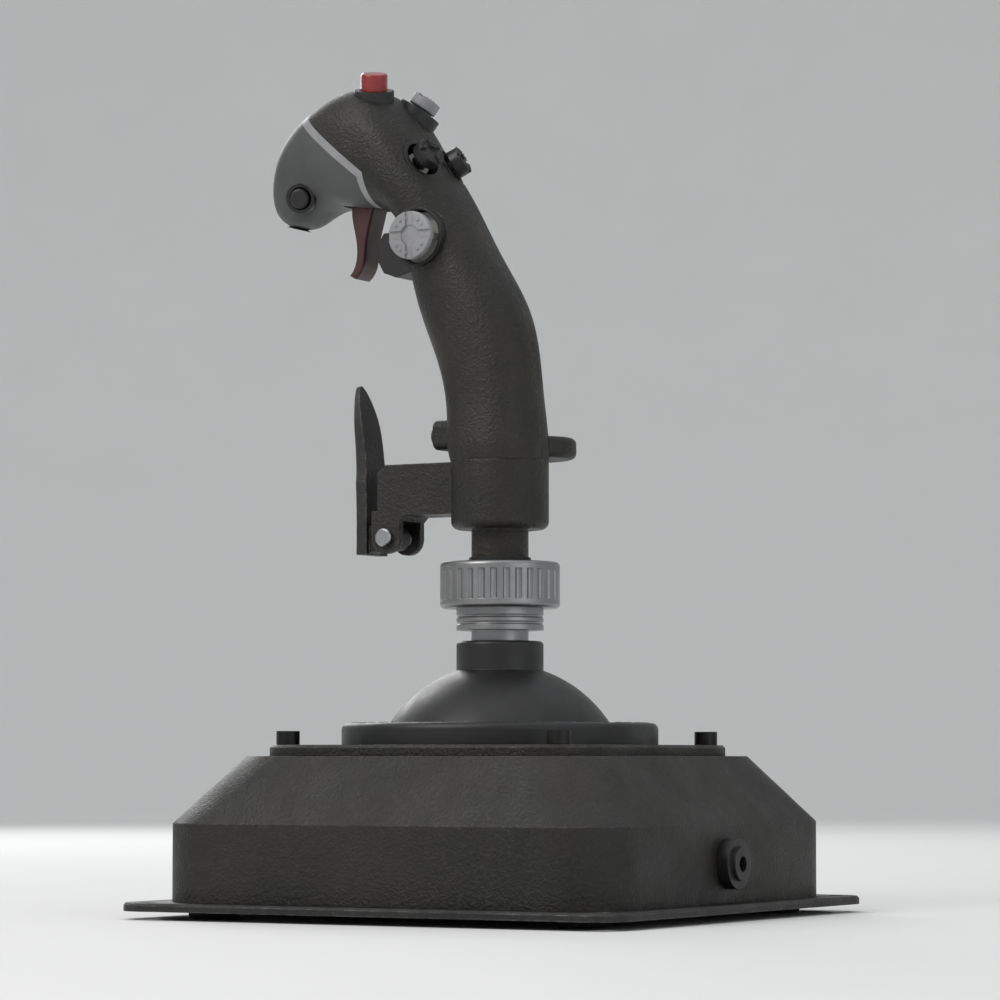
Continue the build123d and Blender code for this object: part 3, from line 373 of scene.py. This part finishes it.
def ridged_band(name, body, look, centre, radius, height, ridges, depth):
    """A flat ring, closed all round, with upright ridges outside and a plain wall inside."""
    inner = -BAND_THICKNESS * depth
    # level in the height, offset from the radius, and depth of the ridges there
    profile = (
        (0.0, inner, 0.0),
        (0.0, -depth, depth),
        (RIM, 0.0, depth),
        (1.0 - RIM, 0.0, depth),
        (1.0, -depth, depth),
        (1.0, inner, 0.0),
    )
    form = bmesh.new()
    count = ridges * RIDGE_STEPS
    rings = []
    for part, offset, ridge in profile:
        ring = []
        for k in range(count):
            turn = math.tau * k / count
            reach = radius + offset - ridge * (0.5 - 0.5 * math.cos(math.tau * k / RIDGE_STEPS))
            spot = Vector((reach * math.cos(turn), reach * math.sin(turn), height * (part - 0.5)))
            ring.append(form.verts.new(centre + spot))
        rings.append(ring)
    for low, high in zip(rings, rings[1:] + rings[:1]):
        bridge(form, low, high)
    piece(name, form, body, look, BAND_SMOOTH_ANGLE)


STUD_SIZE = 0.085  # a stud's radius, as a part of the cap's radius
STUD_REACH = 0.74  # a stud's distance from the cap's middle, likewise
STUD_APART = 0.36  # radians between neighbours
STUD_SINK = 0.25  # how deep a stud's middle sits, as a part of its radius
STUD_RAY_START = 0.03
STUD_RAY_REACH = 0.05
STUD_SMOOTH_ANGLE = 180.0

joint_of = {entry["name"]: entry for entry in frame["joints"]}


def hat_frame(hat):
    """Pivot, sideways direction and outward direction of a hat, from its two tilt joints."""
    first = joint_of[hat + "_tilt_a"]
    second = joint_of[hat + "_tilt_b"]
    across = Vector(first["axis"]).normalized()
    out = Vector(first["axis"]).cross(Vector(second["axis"])).normalized()
    return Vector(first["pos_m"]), across, out


def hat_studs(hat, look, radius, studs):
    """Small round studs on a hat's cap, the same number on each of its four quarters."""
    cap = hat + "_hat"
    pivot, across, out = hat_frame(hat)
    along = out.cross(across)
    tree = surface_of(cap)
    form = bmesh.new()
    reach = radius * STUD_REACH
    size = radius * STUD_SIZE
    for quarter in range(4):
        middle = math.pi / 4 + quarter * math.pi / 2
        for step in range(studs):
            turn = middle + (step - (studs - 1) / 2) * STUD_APART
            spot = pivot + across * reach * math.cos(turn) + along * reach * math.sin(turn)
            hit = tree.ray_cast(spot + out * STUD_RAY_START, -out, STUD_RAY_REACH)[0]
            if hit is None:
                continue
            made = bmesh.ops.create_icosphere(form, subdivisions=3, radius=size)
            bmesh.ops.translate(form, verts=made["verts"], vec=hit - out * size * STUD_SINK)
    piece(cap + "_studs", form, cap, look, STUD_SMOOTH_ANGLE)


# heights of the ribs, as parts of the trigger's and the paddle's own height
TRIGGER_LEVELS = [0.22 + 0.055 * i for i in range(7)]
PADDLE_LEVELS = [0.42 + 0.045 * i for i in range(8)]
ribs_across("trigger_ribs", "trigger", "trigger", "dark_red", TRIGGER_LEVELS,
            half_width=0.0043, radius=0.00042)
ribs_across("paddle_ribs", "paddle", "paddle", "painted_steel", PADDLE_LEVELS,
            half_width=0.0048, radius=0.0005)

ring_ticks("dome_ring_ticks", "dome_ring", "base", "grey_plastic",
           count=48, inner=0.0505, outer=0.0545, width=0.0008, proud=0.00022)

SMALL_CAP_R = 0.0056
SIDE_CAP_R = 0.0089
hat_studs("trim", "light_grey_plastic", SMALL_CAP_R, studs=3)
hat_studs("left_thumb", "dark_plastic", SMALL_CAP_R, studs=3)
hat_studs("right_thumb", "dark_plastic", SMALL_CAP_R, studs=3)
hat_studs("side", "light_grey_plastic", SIDE_CAP_R, studs=4)

# a seal that sits on the nut, round the stick's neck
GASKET_H = 0.0018
GASKET_R = 0.01135
gasket_at = Vector((0.0, 0.0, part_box("collar_nut")[1].z + GASKET_H / 2))
ridged_band("collar_gasket", "stick", "rubber", gasket_at, GASKET_R, GASKET_H, ridges=30, depth=0.0002)


# ---------------------------------------------------------------- room and camera

BOWL_FLAT = 2.4  # radius of the level floor
BOWL_RISE = 2.2  # radius of the curve from floor to wall
BOWL_STEPS = 24
BOWL_SIDES = 96


def seamless_backdrop():
    """A pale round floor that curves up into a wall on every side."""
    s = Shader("backdrop_paper")
    s.set("Base Color", s.blend(s.noise(scale=5.0, detail=3.0), (0.70, 0.70, 0.695), (0.73, 0.73, 0.725)))
    s.set("Roughness", 0.9)
    s.set("Specular IOR Level", 0.2)
    profile = [(BOWL_FLAT, 0.0)]
    for i in range(1, BOWL_STEPS + 1):
        turn = math.pi / 2 * i / BOWL_STEPS
        profile.append((BOWL_FLAT + BOWL_RISE * math.sin(turn), BOWL_RISE * (1 - math.cos(turn))))
    profile.append((BOWL_FLAT + BOWL_RISE, 2 * BOWL_RISE))
    form = bmesh.new()
    middle = form.verts.new((0.0, 0.0, 0.0))
    rings = []
    for reach, height in profile:
        ring = []
        for k in range(BOWL_SIDES):
            turn = math.tau * k / BOWL_SIDES
            ring.append(form.verts.new((reach * math.cos(turn), reach * math.sin(turn), height)))
        rings.append(ring)
    # wound so that every face looks into the bowl
    for k in range(BOWL_SIDES):
        form.faces.new((middle, rings[0][k], rings[0][(k + 1) % BOWL_SIDES]))
    for low, high in zip(rings, rings[1:]):
        for k in range(BOWL_SIDES):
            form.faces.new((low[k], high[k], high[(k + 1) % BOWL_SIDES], low[(k + 1) % BOWL_SIDES]))
    mesh = bpy.data.meshes.new("backdrop_floor")
    form.to_mesh(mesh)
    form.free()
    mesh.shade_smooth()
    mesh.materials.append(s.material)
    floor = bpy.data.objects.new("backdrop_floor", mesh)
    bpy.context.collection.objects.link(floor)


def soft_light(name, place, target, size, power, colour=(1.0, 1.0, 1.0)):
    """A round area light at a place, facing a target."""
    data = bpy.data.lights.new(name, "AREA")
    data.shape = "DISK"
    data.size = size
    data.energy = power
    data.color = colour
    item = bpy.data.objects.new(name, data)
    bpy.context.collection.objects.link(item)
    item.location = place
    item.rotation_euler = (Vector(target) - Vector(place)).to_track_quat("-Z", "Y").to_euler()


def camera_at(azimuth, elevation, distance, target, lens):
    """The camera, in degrees round the target: azimuth 0 looks along +Y."""
    data = bpy.data.cameras.new("camera")
    data.lens = lens
    item = bpy.data.objects.new("camera", data)
    bpy.context.collection.objects.link(item)
    turn = math.radians(azimuth)
    rise = math.radians(elevation)
    offset = Vector((math.sin(turn) * math.cos(rise), -math.cos(turn) * math.cos(rise), math.sin(rise)))
    item.location = Vector(target) + offset * distance
    item.rotation_euler = (-offset).to_track_quat("-Z", "Y").to_euler()
    bpy.context.scene.camera = item


seamless_backdrop()
LIGHT_TARGET = (0.0, 0.0, 0.16)
soft_light("key", (-1.3, 0.5, 1.3), LIGHT_TARGET, size=1.0, power=15.0, colour=(1.0, 0.985, 0.96))
soft_light("fill", (-0.5, -1.7, 0.6), LIGHT_TARGET, size=1.4, power=4.5, colour=(0.95, 0.97, 1.0))
soft_light("rim", (1.0, 1.2, 0.9), LIGHT_TARGET, size=0.8, power=9.0)
soft_light("wall_wash", (0.0, 0.0, 3.6), (0.0, 0.0, 0.0), size=3.0, power=12.0)

world = bpy.data.worlds.new("studio")
world.use_nodes = True
background = world.node_tree.nodes["Background"]
background.inputs["Color"].default_value = (0.86, 0.88, 0.9, 1.0)
background.inputs["Strength"].default_value = 0.85
bpy.context.scene.world = world
bpy.context.scene.view_settings.view_transform = "Standard"

# the camera is low, a little above the floor, and looks slightly up at the grip
camera_at(azimuth=-60.0, elevation=-3.9, distance=1.4, target=(0.0, 0.0, 0.152), lens=137.0)
